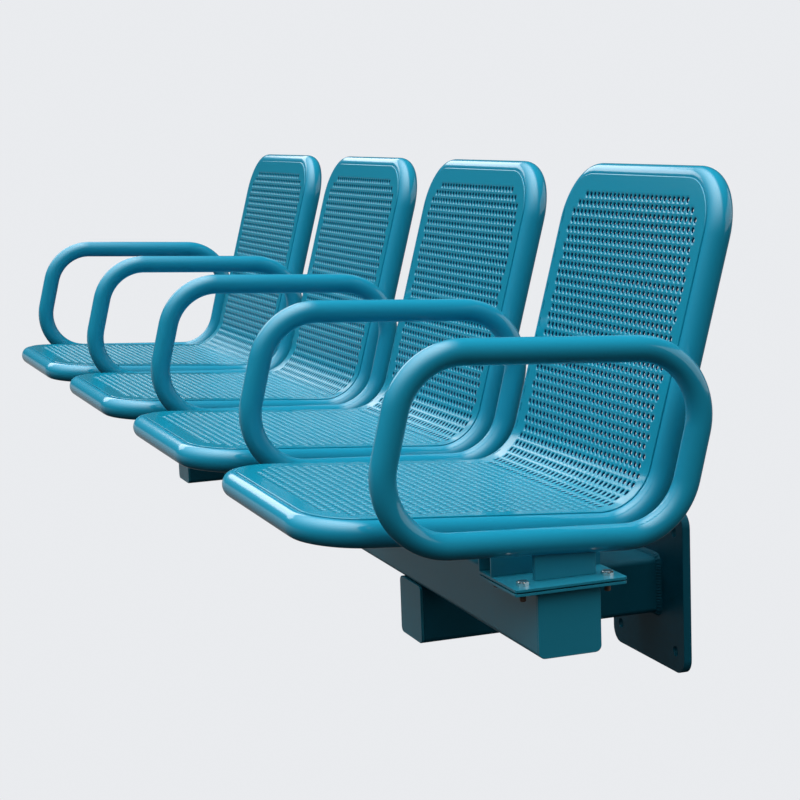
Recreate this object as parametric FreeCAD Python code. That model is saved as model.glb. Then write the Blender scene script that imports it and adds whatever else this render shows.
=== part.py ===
import FreeCAD, Part
import math
import os

# Wall-mounted beam seating. Millimetres, +Z up, seats face -Y, wall at Y = 0.
# X = 0 and Z = 0 lie midway between the two cantilever arms, on their centre line.

os.makedirs("parts", exist_ok=True)
Vector = FreeCAD.Vector
along_x = Vector(1, 0, 0)
along_y = Vector(0, 1, 0)
along_z = Vector(0, 0, 1)

# The row: seats between armrests, set along the beam
seat_count = 4
seat_pitch = 550.0
row_shift = -36.0

# Square hollow sections of the beam and of the arms below it
section_size = 80.0
section_wall = 4.0
section_corner = 8.0
beam_middle_y = -332.0
beam_overhang = 26.0
cap_thickness = 4.0
arm_offset = 656.0

# Wall plates
plate_width = 220.0
plate_height = 230.0
plate_thickness = 12.0
plate_corner = 22.0
wall_hole_spacing = 170.0
wall_hole_diameter = 14.0
weld_leg = 6.0
weld_edge = 0.8

# Clamp plates between beam and seats
clamp_depth = 142.0
clamp_corner = 4.0
lower_thickness = 4.0
upper_thickness = 4.0
clamp_outer_reach = 35.0

# Hexagon-head bolts through the clamp plates, threaded into the lower one
bolt_diameter = 8.0
bolt_clearance = 1.0
bolt_flats = 13.0
bolt_head = 5.3
bolt_tail = 11.0
bolt_chamfer = 1.0
bolt_spacing_y = 108.0
bolt_riser_step = 5.5
bolt_outer_offset = 15.0

# Armrest: one closed tube loop on an upright web plate
tube_diameter = 32.0
tube_wall = 2.0
loop_middle_y = -345.8
loop_middle_z = 286.3
loop_bar = 390.0
loop_side = 224.5
loop_tilt = 3.33
loop_lean = 14.47
loop_radius = 83.0
web_thickness = 8.0
web_depth = 78.0
web_middle_y = -326.0

# Seat: one bent sheet in a closed rim of oval tube
seat_width = 446.0
fold_y = -191.1
fold_z = 180.6
pan_length = 433.0
back_length = 432.4
pan_tilt = 4.4
back_lean = 15.4
bend_radius = 67.0
seat_corner = 85.0
rim_width = 30.0
rim_depth = 33.0
rim_end_radius = 14.0
rim_wall = 2.0
rim_rise = 0.8
sheet_thickness = 2.5

# Openings through the sheet: a plain grid that stands for its fine perforation
opening_columns = 12
opening_side = 15.4
opening_margin = 41.0

# Seat risers: folded channels between clamp plate and rim, set a little outside the rim's line
riser_rim_step = 9.5
riser_width = 40.0
riser_wall = 3.0
riser_saddle = 1.5

# Levels and lines that follow from the sizes above
arm_top = section_size / 2
beam_top = arm_top + section_size
lower_top = beam_top + lower_thickness
clamp_top = lower_top + upper_thickness
beam_front = beam_middle_y - section_size / 2
clamp_front = beam_middle_y - clamp_depth / 2
clamp_back = beam_middle_y + clamp_depth / 2
half_row = seat_count * seat_pitch / 2
rim_line = seat_width / 2 - rim_width / 2
riser_line = rim_line + riser_rim_step
riser_offset = seat_pitch / 2 - riser_line
clamp_inner_reach = riser_offset + riser_width / 2
bolt_inner_offset = riser_offset + bolt_riser_step
rim_sink = rim_depth / 2 - rim_rise


def save(name, shape):
    shape.exportStep("parts/" + name + ".step")


def block(x_low, x_high, y_low, y_high, z_low, z_high):
    size = Vector(x_high - x_low, y_high - y_low, z_high - z_low)
    return Part.makeBox(size.x, size.y, size.z, Vector(x_low, y_low, z_low))


def rounded_face(width, height, radius, middle, across, upward):
    """Flat rounded rectangle about middle, spanned by two unit directions."""
    half_width = width / 2
    half_height = height / 2
    slant = radius * (1 - math.sqrt(0.5))

    def place(u, v):
        return middle + across * u + upward * v

    edges = []
    for u_sign, v_sign in ((1, 1), (-1, 1), (-1, -1), (1, -1)):
        u_far = u_sign * half_width
        v_far = v_sign * half_height
        on_side = place(u_far, v_far - v_sign * radius)
        on_top = place(u_far - u_sign * radius, v_far)
        bulge = place(u_far - u_sign * slant, v_far - v_sign * slant)
        ends = (on_side, on_top) if u_sign * v_sign > 0 else (on_top, on_side)
        edges.append(Part.Arc(ends[0], bulge, ends[1]).toShape())
    count = len(edges)
    lines = []
    for i in range(count):
        start = edges[i].valueAt(edges[i].LastParameter)
        finish = edges[(i + 1) % count].valueAt(edges[(i + 1) % count].FirstParameter)
        lines.append(Part.makeLine(start, finish))
    return Part.Face(Part.Wire(Part.__sortEdges__(edges + lines)))


def square_section(middle, across, upward, inset):
    size = section_size - 2 * inset
    return rounded_face(size, size, section_corner - inset, middle, across, upward)


def square_tube(start, direction, length, across, upward):
    outer = square_section(start, across, upward, 0).extrude(direction * length)
    inner = square_section(start, across, upward, section_wall).extrude(direction * length)
    return outer.cut(inner)


def upright_cylinder(x, y, z_low, z_high, diameter):
    return Part.makeCylinder(diameter / 2, z_high - z_low, Vector(x, y, z_low), along_z)


def one_solid(pieces):
    joined = pieces[0].multiFuse(pieces[1:])
    return joined.removeSplitter().Solids[0]


# Beam, its end caps, the two arms with front caps, wall plates and root welds
beam_low = row_shift - half_row - beam_overhang
beam_high = row_shift + half_row + beam_overhang
beam_middle_z = arm_top + section_size / 2
beam_start = Vector(beam_low + cap_thickness, beam_middle_y, beam_middle_z)
beam_length = beam_high - beam_low - 2 * cap_thickness
save("beam_tube", square_tube(beam_start, along_x, beam_length, along_y, along_z))
for name, x in (("left", beam_low), ("right", beam_high - cap_thickness)):
    end = square_section(Vector(x, beam_middle_y, beam_middle_z), along_y, along_z, 0)
    save("beam_end_cap_" + name, end.extrude(along_x * cap_thickness))

for name, x in (("left", -arm_offset), ("right", arm_offset)):
    arm_front = Vector(x, beam_front, 0)
    tube_front = arm_front + along_y * cap_thickness
    arm_root = Vector(x, -plate_thickness, 0)
    arm_length = arm_root.y - tube_front.y
    save("arm_" + name, square_tube(tube_front, along_y, arm_length, along_x, along_z))
    front_face = square_section(arm_front, along_x, along_z, 0)
    save("arm_front_cap_" + name, front_face.extrude(along_y * cap_thickness))

    plate = rounded_face(plate_width, plate_height, plate_corner, arm_root, along_x, along_z)
    plate = plate.extrude(along_y * plate_thickness)
    for x_sign in (-1, 1):
        for z_sign in (-1, 1):
            corner = Vector(x_sign, 0, z_sign) * (wall_hole_spacing / 2)
            hole = Part.makeCylinder(
                wall_hole_diameter / 2, plate_thickness, arm_root + corner, along_y)
            plate = plate.cut(hole)
    save("wall_plate_" + name, plate)

    weld_front = arm_root - along_y * weld_leg
    wide = section_size + 2 * weld_leg
    narrow = section_size + 2 * weld_edge
    root_ring = rounded_face(
        wide, wide, section_corner + weld_leg, arm_root, along_x, along_z)
    front_ring = rounded_face(
        narrow, narrow, section_corner + weld_edge, weld_front, along_x, along_z)
    bead = Part.makeLoft([root_ring.OuterWire, front_ring.OuterWire], True)
    arm_core = square_section(weld_front, along_x, along_z, 0).extrude(along_y * weld_leg)
    save("arm_weld_" + name, bead.cut(arm_core))


def clamp_plate(x_low, x_high, z_low, z_high, bolt_places, hole_diameter):
    middle = Vector((x_low + x_high) / 2, beam_middle_y, z_low)
    face = rounded_face(x_high - x_low, clamp_depth, clamp_corner, middle, along_x, along_y)
    plate = face.extrude(along_z * (z_high - z_low))
    for x, y in bolt_places:
        plate = plate.cut(upright_cylinder(x, y, z_low, z_high, hole_diameter))
    return plate


def hexagon_bolt(x, y):
    corner_radius = bolt_flats / math.sqrt(3)
    corners = []
    for i in range(7):
        angle = math.radians(60 * i)
        corners.append(Vector(
            x + corner_radius * math.cos(angle), y + corner_radius * math.sin(angle), clamp_top))
    head = Part.Face(Part.makePolygon(corners)).extrude(along_z * bolt_head)
    tail_end = beam_top - bolt_tail
    shank = upright_cylinder(x, y, tail_end + bolt_chamfer, clamp_top, bolt_diameter)
    tip = Part.makeCone(
        bolt_diameter / 2 - bolt_chamfer, bolt_diameter / 2, bolt_chamfer, Vector(x, y, tail_end))
    return one_solid([head, shank, tip])


def armrest_corners():
    """Corners of the loop's centre line, before rounding, in order round the loop."""
    tilt = math.radians(loop_tilt)
    lean = math.radians(loop_lean)
    bar = Vector(0, math.cos(tilt), -math.sin(tilt)) * (loop_bar / 2)
    side = Vector(0, math.sin(lean), math.cos(lean)) * (loop_side / 2)
    middle = Vector(0, loop_middle_y, loop_middle_z)
    return [middle - bar - side, middle - bar + side, middle + bar + side, middle + bar - side]


def closed_loop(corners, radius, tube_radius):
    """Round tube along a flat closed path with rounded corners."""
    count = len(corners)
    pieces = []
    bends = []
    for i in range(count):
        corner = corners[i]
        arriving = (corner - corners[i - 1]).normalize()
        leaving = (corners[(i + 1) % count] - corner).normalize()
        turn = arriving.getAngle(leaving)
        trim = radius * math.tan(turn / 2)
        axis = arriving.cross(leaving).normalize()
        start = corner - arriving * trim
        centre = start + axis.cross(arriving) * radius
        ring = Part.Face(Part.Wire(Part.makeCircle(tube_radius, start, arriving)))
        pieces.append(ring.revolve(centre, axis, math.degrees(turn)))
        bends.append((start, corner + leaving * trim))
    for i in range(count):
        start = bends[i][1]
        run = bends[(i + 1) % count][0] - start
        pieces.append(Part.makeCylinder(tube_radius, run.Length, start, run))
    return one_solid(pieces)


pan_angle = math.radians(pan_tilt)
back_angle = math.radians(back_lean)
pan_forward = Vector(0, -math.cos(pan_angle), math.sin(pan_angle))
pan_normal = Vector(0, math.sin(pan_angle), math.cos(pan_angle))
back_upward = Vector(0, math.sin(back_angle), math.cos(back_angle))
back_normal = Vector(0, -math.cos(back_angle), math.sin(back_angle))
fold_turn = math.pi / 2 - back_angle + pan_angle
fold_trim = bend_radius * math.tan(fold_turn / 2)


def rim_section(middle, across, normal, inset):
    """Oval of four arcs: small ends along normal, flatter sides across."""
    half_width = rim_width / 2 - inset
    half_depth = rim_depth / 2 - inset
    end_radius = rim_end_radius - inset
    reach = half_depth - end_radius
    side_radius = (reach ** 2 + half_width ** 2 - end_radius ** 2) / (2 * (half_width - end_radius))
    spread = side_radius - half_width
    slope = math.atan2(reach, spread)
    u_joint = side_radius * math.cos(slope) - spread
    v_joint = side_radius * math.sin(slope)

    def place(u, v):
        return middle + across * u + normal * v

    arcs = [
        Part.Arc(place(u_joint, -v_joint), place(half_width, 0), place(u_joint, v_joint)),
        Part.Arc(place(u_joint, v_joint), place(0, half_depth), place(-u_joint, v_joint)),
        Part.Arc(place(-u_joint, v_joint), place(-half_width, 0), place(-u_joint, -v_joint)),
        Part.Arc(place(-u_joint, -v_joint), place(0, -half_depth), place(u_joint, -v_joint)),
    ]
    return Part.Face(Part.Wire([arc.toShape() for arc in arcs]))


def seat_rim(inset):
    """Rim swept right round: front, side, bend, back side, top and down again."""
    corner = seat_corner - rim_width / 2
    front_run = 2 * (rim_line - corner)
    pan_run = pan_length - seat_corner - fold_trim
    back_run = back_length - seat_corner - fold_trim
    sink_radius = bend_radius + rim_sink
    fold = Vector(0, fold_y, fold_z)
    place = fold + pan_forward * (pan_length - rim_width / 2) - pan_normal * rim_sink
    place = place - along_x * (rim_line - corner)
    heading = along_x
    normal = pan_normal
    quarter = math.pi / 2
    legs = []
    for length, fold_angle, far_run in (
            (front_run, fold_turn, (pan_run, back_run)), (front_run, -fold_turn, (back_run, pan_run))):
        legs.append(("run", length))
        legs.append(("corner", quarter))
        legs.append(("run", far_run[0]))
        legs.append(("fold", abs(fold_angle)))
        legs.append(("run", far_run[1]))
        legs.append(("corner", quarter))
    pieces = []
    for kind, amount in legs:
        section = rim_section(place, heading.cross(normal), normal, inset)
        if kind == "run":
            pieces.append(section.extrude(heading * amount))
            place = place + heading * amount
            continue
        if kind == "corner":
            axis = normal
            centre = place + normal.cross(heading) * corner
        else:
            axis = heading.cross(normal)
            centre = place + normal * sink_radius
        pieces.append(section.revolve(centre, axis, math.degrees(amount)))
        turning = FreeCAD.Rotation(axis, math.degrees(amount))
        place = centre + turning.multVec(place - centre)
        heading = turning.multVec(heading)
        normal = turning.multVec(normal)
    return one_solid(pieces)


def sheet_flat(start, upward, length, normal):
    """Flat half of the sheet: square at the bend, rounded at its free corners."""
    corner = seat_corner - rim_width / 2
    whole = rounded_face(2 * rim_line, 2 * length, corner, start, along_x, upward)
    slab = whole.extrude(normal * -sheet_thickness)
    beyond = Part.Face(Part.makePolygon([
        start + along_x * (u * seat_width) - upward * v
        for u, v in ((-1, 0), (1, 0), (1, 2 * length), (-1, 2 * length), (-1, 0))]))
    beyond = beyond.extrude(normal * (-4 * sheet_thickness))
    beyond.translate(normal * (2 * sheet_thickness))
    return slab.cut(beyond)


def seat_sheet():
    fold = Vector(0, fold_y, fold_z)
    pan_start = fold + pan_forward * fold_trim
    back_start = fold + back_upward * fold_trim
    pan = sheet_flat(pan_start, pan_forward, pan_length - rim_width / 2 - fold_trim, pan_normal)
    back = sheet_flat(
        back_start, back_upward, back_length - rim_width / 2 - fold_trim, back_normal)
    edge = pan_start - along_x * rim_line
    strip = Part.Face(Part.makePolygon([
        edge, edge + along_x * (2 * rim_line),
        edge + along_x * (2 * rim_line) - pan_normal * sheet_thickness,
        edge - pan_normal * sheet_thickness, edge]))
    bend = strip.revolve(pan_start + pan_normal * bend_radius, along_x, math.degrees(fold_turn))
    return one_solid([pan, bend, back])


def sheet_openings():
    """Blocks through the sheet, in rows over the pan, round the bend and up the back."""
    half_side = opening_side / 2
    edge = opening_margin + half_side
    half_field = seat_width / 2 - edge
    pitch = 2 * half_field / (opening_columns - 1)
    fold_arc = bend_radius * fold_turn
    front_row = fold_trim + edge - pan_length
    top_row = fold_arc + back_length - fold_trim - edge
    row_gaps = round((top_row - front_row) / pitch)
    bend_centre = Vector(0, fold_y, fold_z) + pan_forward * fold_trim + pan_normal * bend_radius
    ring = [Vector(u, v, 0) * half_side for u, v in ((-1, -1), (1, -1), (1, 1), (-1, 1), (-1, -1))]
    blocks = []
    for row in range(row_gaps + 1):
        along = front_row + (top_row - front_row) * row / row_gaps
        bent = min(max(along, 0), fold_arc)
        turning = FreeCAD.Rotation(along_x, math.degrees(bent / bend_radius))
        normal = turning.multVec(pan_normal)
        heading = turning.multVec(pan_forward) * -1
        below = bend_centre - normal * (bend_radius + 2 * sheet_thickness) + heading * (along - bent)
        for column in range(opening_columns):
            in_corner = row in (0, row_gaps) and column in (0, opening_columns - 1)
            if in_corner:
                continue
            middle = below + along_x * (pitch * column - half_field)
            outline = [middle + along_x * corner.x + heading * corner.y for corner in ring]
            face = Part.Face(Part.makePolygon(outline))
            blocks.append(face.extrude(normal * (3 * sheet_thickness)))
    return blocks


def seat_riser(x, rim):
    """Open-ended channel, mouth down, with its top cut to sit round the rim's underside."""
    def side_profile(side_x, lowering):
        fold = Vector(side_x, fold_y, fold_z)
        under = fold + pan_normal * (rim_rise - rim_depth + riser_saddle - lowering)
        corners = []
        for y in (clamp_front, clamp_back):
            reach = (y - under.y) / pan_forward.y
            corners.append(Vector(side_x, y, clamp_top))
            corners.append(under + pan_forward * reach)
        ring = [corners[0], corners[1], corners[3], corners[2], corners[0]]
        return Part.Face(Part.makePolygon(ring))

    outer = side_profile(x - riser_width / 2, 0).extrude(along_x * riser_width)
    hollow_width = riser_width - 2 * riser_wall
    inner = side_profile(x - hollow_width / 2, riser_wall).extrude(along_x * hollow_width)
    return outer.cut(inner).cut(rim).Solids[0]


# One seat about X = 0, with a riser under each side of its rim, set down at each place in the row
solid_rim = seat_rim(0)
rim_tube = solid_rim.cut(seat_rim(rim_wall))
sheet = seat_sheet().cut(solid_rim).cut(sheet_openings())
riser_below_left = seat_riser(-riser_line, solid_rim)
riser_below_right = seat_riser(riser_line, solid_rim)
seat_middles = [row_shift + (i - (seat_count - 1) / 2) * seat_pitch for i in range(seat_count)]
for number, x in enumerate(seat_middles, 1):
    save("seat_rim_%d" % number, rim_tube.translated(along_x * x))
    save("seat_sheet_%d" % number, sheet.translated(along_x * x))
    save("seat_riser_%d_right" % number, riser_below_left.translated(along_x * x))
    save("seat_riser_%d_left" % (number + 1), riser_below_right.translated(along_x * x))

# One armrest about X = 0: the loop, and the web that is cut to sit under it
corners = armrest_corners()
solid_loop = closed_loop(corners, loop_radius, tube_diameter / 2)
loop_tube = solid_loop.cut(closed_loop(corners, loop_radius, tube_diameter / 2 - tube_wall))
web_block = block(
    -web_thickness / 2, web_thickness / 2,
    web_middle_y - web_depth / 2, web_middle_y + web_depth / 2,
    clamp_top, loop_middle_z)
web = min(web_block.cut(solid_loop).Solids, key=lambda piece: piece.CenterOfMass.z)

# One station below each armrest: two clamp plates, their bolts, the web and the loop
station_lines = [row_shift - half_row + i * seat_pitch for i in range(seat_count + 1)]
for index, x in enumerate(station_lines):
    number = index + 1
    first = index == 0
    last = index == seat_count
    reach_left = clamp_outer_reach if first else clamp_inner_reach
    reach_right = clamp_outer_reach if last else clamp_inner_reach
    bolt_left = bolt_outer_offset if first else bolt_inner_offset
    bolt_right = bolt_outer_offset if last else bolt_inner_offset
    bolt_places = []
    for bolt_x in (x - bolt_left, x + bolt_right):
        for y_sign in (-1, 1):
            bolt_places.append((bolt_x, beam_middle_y + y_sign * bolt_spacing_y / 2))
    low = x - reach_left
    high = x + reach_right
    save("clamp_lower_%d" % number, clamp_plate(
        low, high, beam_top, lower_top, bolt_places, bolt_diameter))
    save("clamp_upper_%d" % number, clamp_plate(
        low, high, lower_top, clamp_top, bolt_places, bolt_diameter + bolt_clearance))
    save("clamp_bolts_%d" % number, Part.makeCompound(
        [hexagon_bolt(bolt_x, bolt_y) for bolt_x, bolt_y in bolt_places]))
    save("armrest_loop_%d" % number, loop_tube.translated(along_x * x))
    save("armrest_web_%d" % number, web.translated(along_x * x))
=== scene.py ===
import math

import bmesh
import bpy
from mathutils import Matrix, Vector


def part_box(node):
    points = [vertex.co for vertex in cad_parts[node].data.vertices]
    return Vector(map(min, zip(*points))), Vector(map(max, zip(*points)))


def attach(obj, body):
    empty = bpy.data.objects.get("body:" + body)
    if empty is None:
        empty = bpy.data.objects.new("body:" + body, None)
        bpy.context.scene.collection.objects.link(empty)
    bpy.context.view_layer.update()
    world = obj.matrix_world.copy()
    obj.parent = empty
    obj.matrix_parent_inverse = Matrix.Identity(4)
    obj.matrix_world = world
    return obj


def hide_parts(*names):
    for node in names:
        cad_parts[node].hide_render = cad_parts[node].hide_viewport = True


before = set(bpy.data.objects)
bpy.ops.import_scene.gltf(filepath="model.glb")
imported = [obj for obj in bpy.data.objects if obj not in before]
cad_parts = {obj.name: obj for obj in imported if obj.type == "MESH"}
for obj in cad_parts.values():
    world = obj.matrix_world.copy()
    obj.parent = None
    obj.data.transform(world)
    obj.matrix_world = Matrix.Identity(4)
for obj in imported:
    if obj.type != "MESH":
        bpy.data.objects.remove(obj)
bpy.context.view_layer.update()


# Wall plates: two thick steel plates at the roots of the arms, cut with round corners and drilled
# for four wall anchors each. Their coat is duller, and darkened as painted shade from the seats above.
plate_corner = 0.022
plate_edge = 0.0012
anchor_hole = 0.014
anchor_spacing = 0.170
hole_steps = 28
corner_steps = 8
edge_segments = 3
edge_angle = math.radians(50)
flat_weight = 90
# Frame teal painted darker: painted shade under the seats, used on the wall plates, arms and welds.
shaded_teal = (0.004, 0.090, 0.135, 1.0)
shaded_gloss = 0.45
shaded_specular = 0.12
steelwork_peel = 0.10
cloud_size = 3.0
cloud_strength = 0.1
cloud_detail = 3.0
smear_size = 22.0
smear_detail = 4.0
gloss_spread = 0.04
peel_size = 260.0
peel_detail = 1.5
peel_height = 0.0004
noise_middle = 0.5


def add_node(tree, kind, **settings):
    node = tree.nodes.new(kind)
    for name, value in settings.items():
        setattr(node, name, value)
    return node


def linked(tree, kind, inputs, output=0, **settings):
    """Node whose inputs are sockets or plain values, given by name or number. Gives back one output."""
    node = add_node(tree, kind, **settings)
    for key, value in inputs.items():
        if isinstance(value, bpy.types.NodeSocket):
            tree.links.new(value, node.inputs[key])
        else:
            node.inputs[key].default_value = value
    return node.outputs[output]


def math_node(tree, operation, *values, **settings):
    return linked(tree, "ShaderNodeMath", dict(enumerate(values)), operation=operation, **settings)


def noise(tree, place, size, detail):
    return linked(tree, "ShaderNodeTexNoise", {
        "Vector": place, "Scale": size, "Detail": detail}, output="Fac")


def node_group(name, kind, inputs, outputs):
    """Empty group with named sockets, some with a start value. Gives back what goes in and what comes out."""
    group = bpy.data.node_groups.new(name, kind)
    for in_out, sockets in (("INPUT", inputs), ("OUTPUT", outputs)):
        for label, socket_kind, *start in sockets:
            socket = group.interface.new_socket(label, in_out=in_out, socket_type="NodeSocket" + socket_kind)
            if start:
                socket.default_value = start[0]
    given = group.nodes.new("NodeGroupInput").outputs
    result = group.nodes.new("NodeGroupOutput").inputs
    return group, given, result


def node_material(name):
    material = bpy.data.materials.new(name)
    material.use_nodes = True
    return material, material.node_tree


def sprayed_coat():
    """Faint clouds in a sprayed colour, with uneven gloss and a fine orange peel."""
    group, given, result = node_group("sprayed_coat", "ShaderNodeTree", (
        ("Colour", "Color"), ("Gloss", "Float"), ("Cloud Size", "Float", cloud_size),
        ("Cloud Strength", "Float", cloud_strength), ("Gloss Spread", "Float", gloss_spread),
        ("Peel Size", "Float", peel_size)),
        (("Colour", "Color"), ("Roughness", "Float"), ("Height", "Float")))
    place = linked(group, "ShaderNodeTexCoord", {}, output="Object")

    def varied(pattern, spread, middle):
        swing = math_node(group, "SUBTRACT", pattern, noise_middle)
        return math_node(group, "MULTIPLY_ADD", swing, spread, middle)

    clouds = noise(group, place, given["Cloud Size"], cloud_detail)
    smears = noise(group, place, smear_size, smear_detail)
    shade = varied(clouds, given["Cloud Strength"], 1.0)
    tint = linked(group, "ShaderNodeHueSaturation", {"Value": shade, "Color": given["Colour"]})
    group.links.new(tint, result["Colour"])
    group.links.new(varied(smears, given["Gloss Spread"], given["Gloss"]), result["Roughness"])
    group.links.new(noise(group, place, given["Peel Size"], peel_detail), result["Height"])
    return group


coat_effect = sprayed_coat()


def coat_material(name, colour, gloss, specular, peel_strength):
    material, tree = node_material(name)
    surface = tree.nodes["Principled BSDF"].inputs
    effect = linked(tree, "ShaderNodeGroup", {"Colour": colour, "Gloss": gloss}, node_tree=coat_effect).node
    bump = linked(tree, "ShaderNodeBump", {
        "Height": effect.outputs["Height"], "Strength": peel_strength, "Distance": peel_height})
    surface["Specular IOR Level"].default_value = specular
    tree.links.new(effect.outputs["Colour"], surface["Base Color"])
    tree.links.new(effect.outputs["Roughness"], surface["Roughness"])
    tree.links.new(bump, surface["Normal"])
    return material


def arc_points(centre, radius, start, finish, steps):
    points = []
    for i in range(steps + 1):
        angle = start + (finish - start) * i / steps
        points.append((centre[0] + radius * math.cos(angle), centre[1] + radius * math.sin(angle)))
    return points


def rounded_loop(width, height, radius):
    u = width / 2 - radius
    v = height / 2 - radius
    quarter = math.pi / 2
    loop = []
    for turn, centre in enumerate(((u, v), (-u, v), (-u, -v), (u, -v))):
        loop += arc_points(centre, radius, turn * quarter, (turn + 1) * quarter, corner_steps)
    return loop


def round_loop(u, v, radius):
    start = math.pi / hole_steps
    return arc_points((u, v), radius, start, start + 2 * math.pi, hole_steps)[:-1]


def piece_from(shape, name):
    mesh = bpy.data.meshes.new(name)
    shape.to_mesh(mesh)
    shape.free()
    mesh.polygons.foreach_set("use_smooth", [True] * len(mesh.polygons))
    piece = bpy.data.objects.new(name, mesh)
    bpy.context.scene.collection.objects.link(piece)
    return piece


def apply_modifiers(piece):
    graph = bpy.context.evaluated_depsgraph_get()
    finished = bpy.data.meshes.new_from_object(piece.evaluated_get(graph))
    piece.modifiers.clear()
    piece.data = finished


def cut_solid(name, loops, depth, place, edge):
    """Solid of one depth. The first loop is its outline, the rest are holes, place sets it in the frame."""
    shape = bmesh.new()
    ends = ([], [])
    for loop in loops:
        near = [shape.verts.new(place(u, v, 0)) for u, v in loop]
        far = [shape.verts.new(place(u, v, depth)) for u, v in loop]
        for i in range(len(loop)):
            shape.faces.new((near[i - 1], near[i], far[i], far[i - 1]))
        for ring, edges in zip((near, far), ends):
            for i in range(len(ring)):
                edges.append(shape.edges.get((ring[i - 1], ring[i])))
    for edges in ends:
        bmesh.ops.triangle_fill(shape, use_beauty=True, use_dissolve=True, edges=edges)
    bmesh.ops.recalc_face_normals(shape, faces=shape.faces)
    piece = piece_from(shape, name)
    softened = piece.modifiers.new("softened edges", "BEVEL")
    softened.width = edge
    softened.segments = edge_segments
    softened.limit_method = "ANGLE"
    softened.angle_limit = edge_angle
    flattened = piece.modifiers.new("flat faces", "WEIGHTED_NORMAL")
    flattened.weight = flat_weight
    apply_modifiers(piece)
    return piece


def facing_wall(low, middle):
    """Sets an outline upright along the wall, with its depth towards the wall."""
    return lambda u, v, w: Vector((middle.x + u, low.y + w, middle.z + v))


def fit(piece, material, slot, *nodes):
    piece.data.materials.clear()
    piece.data.materials.append(material)
    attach(piece, "root")
    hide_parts(*nodes)


# The plates, arms and their welds take this darker teal as painted shade from the seats above them.
shaded_wall_coat = coat_material("shaded_wall_coat", shaded_teal, shaded_gloss, shaded_specular, steelwork_peel)
for side in ("left", "right"):
    low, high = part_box("wall_plate_" + side)
    middle = (low + high) / 2
    size = high - low
    loops = [rounded_loop(size.x, size.z, plate_corner)]
    for u_sign in (-1, 1):
        for v_sign in (-1, 1):
            loops.append(round_loop(
                u_sign * anchor_spacing / 2, v_sign * anchor_spacing / 2, anchor_hole / 2))
    plate = cut_solid("wall_plate_finish_" + side, loops, size.y, facing_wall(low, middle), plate_edge)
    fit(plate, shaded_wall_coat, "frame_paint", "wall_plate_" + side)


# Arms: two lengths of square hollow section that stand out from the wall plates under the beam.
# A thin plate closes the front end of each, and a hand-laid weld bead runs round its root.
section_corner = 0.008
section_wall = 0.004
section_edge = 0.0006
cap_edge = 0.0009
weld_leg = 0.006
weld_swell = 0.0009
weld_ripple = 0.0042
weld_ripple_height = 0.00045
weld_drift_ripples = 9.3
weld_drift_share = 0.5
weld_far_share = 0.68
weld_near_share = 0.42
weld_steps = 480
weld_sharp = math.radians(60)
frame_teal = (0.010, 0.185, 0.265, 1.0)
frame_gloss = 0.33
coat_specular = 0.5


def section_loops(size):
    inner = size - 2 * section_wall
    return [
        rounded_loop(size, size, section_corner),
        rounded_loop(inner, inner, section_corner - section_wall)]


def weld_bead(name, size, root_y, middle):
    """Ring of weld in the corner between arm and plate, with the ripples of its laying."""
    shape = bmesh.new()
    half = size / 2
    straight = half - section_corner
    side_run = 2 * straight + section_corner * math.pi / 2
    far = weld_far_share * weld_leg
    near = weld_near_share * weld_leg
    rings = []
    for i in range(weld_steps):
        along = 4 * side_run * i / weld_steps
        turn, rest = divmod(along, side_run)
        if rest < 2 * straight:
            point = Vector((half, rest - straight))
            outward = Vector((1, 0))
        else:
            angle = (rest - 2 * straight) / section_corner
            outward = Vector((math.cos(angle), math.sin(angle)))
            point = Vector((straight, straight)) + outward * section_corner
        swing = Matrix.Rotation(turn * math.pi / 2, 2)
        ripples = 2 * math.pi * along / weld_ripple
        wave = math.sin(ripples) * weld_ripple_height
        drift = weld_drift_share * weld_ripple_height * math.sin(ripples / weld_drift_ripples)
        ring = []
        for out, forward in (
                (0, 0), (weld_leg + drift, 0), (far + wave, near + wave),
                (near + weld_swell / 2 + wave, far + wave), (0, weld_leg + drift)):
            place = swing @ point + (swing @ outward) * out
            ring.append(shape.verts.new((middle.x + place.x, root_y - forward, middle.z + place.y)))
        rings.append(ring)
    for i in range(len(rings)):
        for j in range(len(rings[i])):
            shape.faces.new((rings[i - 1][j - 1], rings[i][j - 1], rings[i][j], rings[i - 1][j]))
    bmesh.ops.recalc_face_normals(shape, faces=shape.faces)
    piece = piece_from(shape, name)
    piece.data.set_sharp_from_angle(angle=weld_sharp)
    return piece


frame_coat = coat_material("frame_coat", frame_teal, frame_gloss, coat_specular, steelwork_peel)
for side in ("left", "right"):
    low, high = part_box("arm_" + side)
    middle = (low + high) / 2
    size = high - low
    arm = cut_solid(
        "arm_finish_" + side, section_loops(size.x), size.y, facing_wall(low, middle), section_edge)
    fit(arm, shaded_wall_coat, "frame_paint", "arm_" + side)
    bead = weld_bead("arm_weld_finish_" + side, size.x, high.y, middle)
    fit(bead, shaded_wall_coat, "frame_paint", "arm_weld_" + side)

    low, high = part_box("arm_front_cap_" + side)
    cap = cut_solid(
        "arm_front_cap_finish_" + side, [rounded_loop(size.x, size.z, section_corner)], high.y - low.y,
        facing_wall(low, middle), cap_edge)
    fit(cap, frame_coat, "frame_paint", "arm_front_cap_" + side)


# Beam: one long square hollow section that lies across both arms and carries every seat.
# Its two ends are closed by thin welded plates.
def along_row(low, middle):
    """Sets an outline across the row, with its depth along it."""
    return lambda u, v, w: Vector((low.x + w, middle.y + u, middle.z + v))


low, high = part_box("beam_tube")
middle = (low + high) / 2
size = high - low
beam = cut_solid("beam_finish", section_loops(size.y), size.x, along_row(low, middle), section_edge)
fit(beam, frame_coat, "frame_paint", "beam_tube")
for side in ("left", "right"):
    low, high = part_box("beam_end_cap_" + side)
    cap = cut_solid(
        "beam_end_cap_finish_" + side, [rounded_loop(size.y, size.z, section_corner)], high.x - low.x,
        along_row(low, middle), cap_edge)
    fit(cap, frame_coat, "frame_paint", "beam_end_cap_" + side)


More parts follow.
